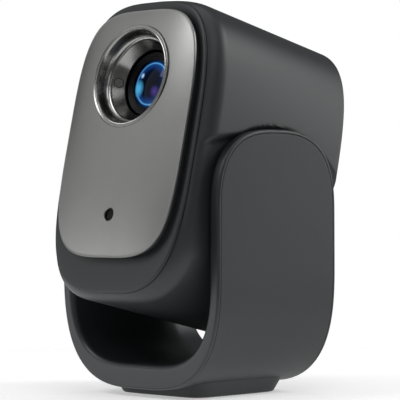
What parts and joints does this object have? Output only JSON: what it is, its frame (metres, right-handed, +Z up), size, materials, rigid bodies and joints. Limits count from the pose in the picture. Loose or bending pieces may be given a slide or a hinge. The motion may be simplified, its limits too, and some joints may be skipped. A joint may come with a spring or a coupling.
{
  "type": "portable video projector",
  "caption": "Upright squircle projector head with a polished lens funnel, leaning back in a U-shaped tilting stand on a small plinth.",
  "frame": {"origin": "middle of the bounding box, on the surface the rubber foot rests on", "axes": "+Z up, -Y towards the lens side, +X to the right of someone facing the same way as the rear"},
  "size_m": [0.12, 0.1395, 0.2105],
  "materials": {
    "shell_plastic": "charcoal moulded ABS with a fine satin texture",
    "stand_plastic": "charcoal moulded ABS, soft matt",
    "cover_skin": "charcoal soft-touch skin let into the stand",
    "bezel_plastic": "charcoal moulded ABS",
    "plate_metal": "warm grey bead-blasted anodised aluminium, satin",
    "polished_ring": "polished and clear coated metal funnel",
    "lens_black": "black anodised optical barrel",
    "lens_glass": "deep blue multi-coated glass",
    "window_black": "smoked gloss window",
    "trim_black": "black satin trim",
    "rear_plastic": "black-grey moulded ABS",
    "port_black": "black connector housing",
    "steel": "zinc plated steel",
    "engine_metal": "die-cast aluminium",
    "sink_metal": "extruded aluminium",
    "copper": "flattened copper heat pipe",
    "brass": "turned brass",
    "fan_black": "black glass-filled nylon",
    "board_green": "green circuit board",
    "speaker_black": "black speaker enclosure",
    "gear_nylon": "natural acetal gear",
    "lamp_base": "lamp carrier with yellow chromate finish",
    "button_plastic": "dark grey key cap",
    "pad_rubber": "black silicone rubber"
  },
  "bodies": {
    "stand": {"stand_frame": "stand_plastic", "stand_cover": "cover_skin", "foot_base": "stand_plastic", "foot_pad": "pad_rubber", "tripod_insert": "brass", "foot_screw_1": "steel", "foot_screw_2": "steel", "foot_screw_3": "steel", "foot_screw_4": "steel", "friction_washer_left": "steel", "friction_washer_right": "steel"},
    "head": {"main_shell": "shell_plastic", "front_bezel": "bezel_plastic", "front_plate": "plate_metal", "lens_ring": "polished_ring", "ambient_sensor": "window_black", "camera_trim": "trim_black", "camera_window": "window_black", "camera_module": "trim_black", "rear_cover": "rear_plastic", "port_panel": "rear_plastic", "dc_inlet": "port_black", "hdmi_port": "port_black", "usb_port": "port_black", "audio_jack": "port_black", "rear_cover_screw_1": "steel", "rear_cover_screw_2": "steel", "rear_cover_screw_3": "steel", "rear_cover_screw_4": "steel", "button_switch": "port_black", "lens_mount": "lens_black", "optical_engine": "engine_metal", "led_module": "lamp_base", "heat_sink": "sink_metal", "heat_pipe": "copper", "fan_frame": "fan_black", "focus_motor": "steel", "main_board": "board_green", "processor_heat_spreader": "sink_metal", "power_board": "board_green", "power_transformer": "lamp_base", "speaker_left": "speaker_black", "speaker_right": "speaker_black", "chassis_bracket": "steel", "hinge_shaft_left": "steel", "hinge_shaft_right": "steel", "hinge_nut_left": "steel", "hinge_nut_right": "steel"},
    "lens_barrel": {"lens_barrel": "lens_black", "lens_front_element": "lens_glass", "lens_rear_element": "lens_glass", "lens_retainer": "lens_black", "lens_spacer": "lens_black"},
    "focus_ring": {"focus_ring": "gear_nylon"},
    "focus_pinion": {"focus_pinion": "brass"},
    "fan_rotor": {"fan_rotor": "fan_black"},
    "power_button": {"power_button": "button_plastic"}
  },
  "joints": [
    {"name": "head_tilt", "type": "hinge", "parent": "stand", "child": "head", "pos_m": [0, -0.00039, 0.08], "axis": [-1, 0, 0], "range_deg": [-23, 13]},
    {"name": "focus_ring_turn", "type": "hinge", "parent": "head", "child": "focus_ring", "pos_m": [0, -0.01953, 0.16306], "axis": [0, -0.9736, 0.2284], "range_deg": [-60, 60]},
    {"name": "lens_focus", "type": "slide", "parent": "head", "child": "lens_barrel", "axis": [0, -0.9736, 0.2284], "range_m": [-0.001, 0.001]},
    {"name": "focus_pinion_turn", "type": "hinge", "parent": "head", "child": "focus_pinion", "pos_m": [0.03015, -0.01953, 0.16306], "axis": [0, -0.9736, 0.2284], "range_deg": [-240, 240]},
    {"name": "fan_spin", "type": "hinge", "parent": "head", "child": "fan_rotor", "pos_m": [-0.008, 0.03421, 0.09001], "axis": [0, -0.9736, 0.2284], "continuous": true},
    {"name": "power_press", "type": "slide", "parent": "head", "child": "power_button", "axis": [0, -0.9736, 0.2284], "range_m": [0, 0.001], "stiffness_N_per_m": 300, "springref_m": -0.001}
  ],
  "couplings": [
    {"joint": "focus_ring_turn", "follows": "lens_focus", "rad_per_m": 1040},
    {"joint": "focus_pinion_turn", "follows": "lens_focus", "rad_per_m": -4160}
  ]
}
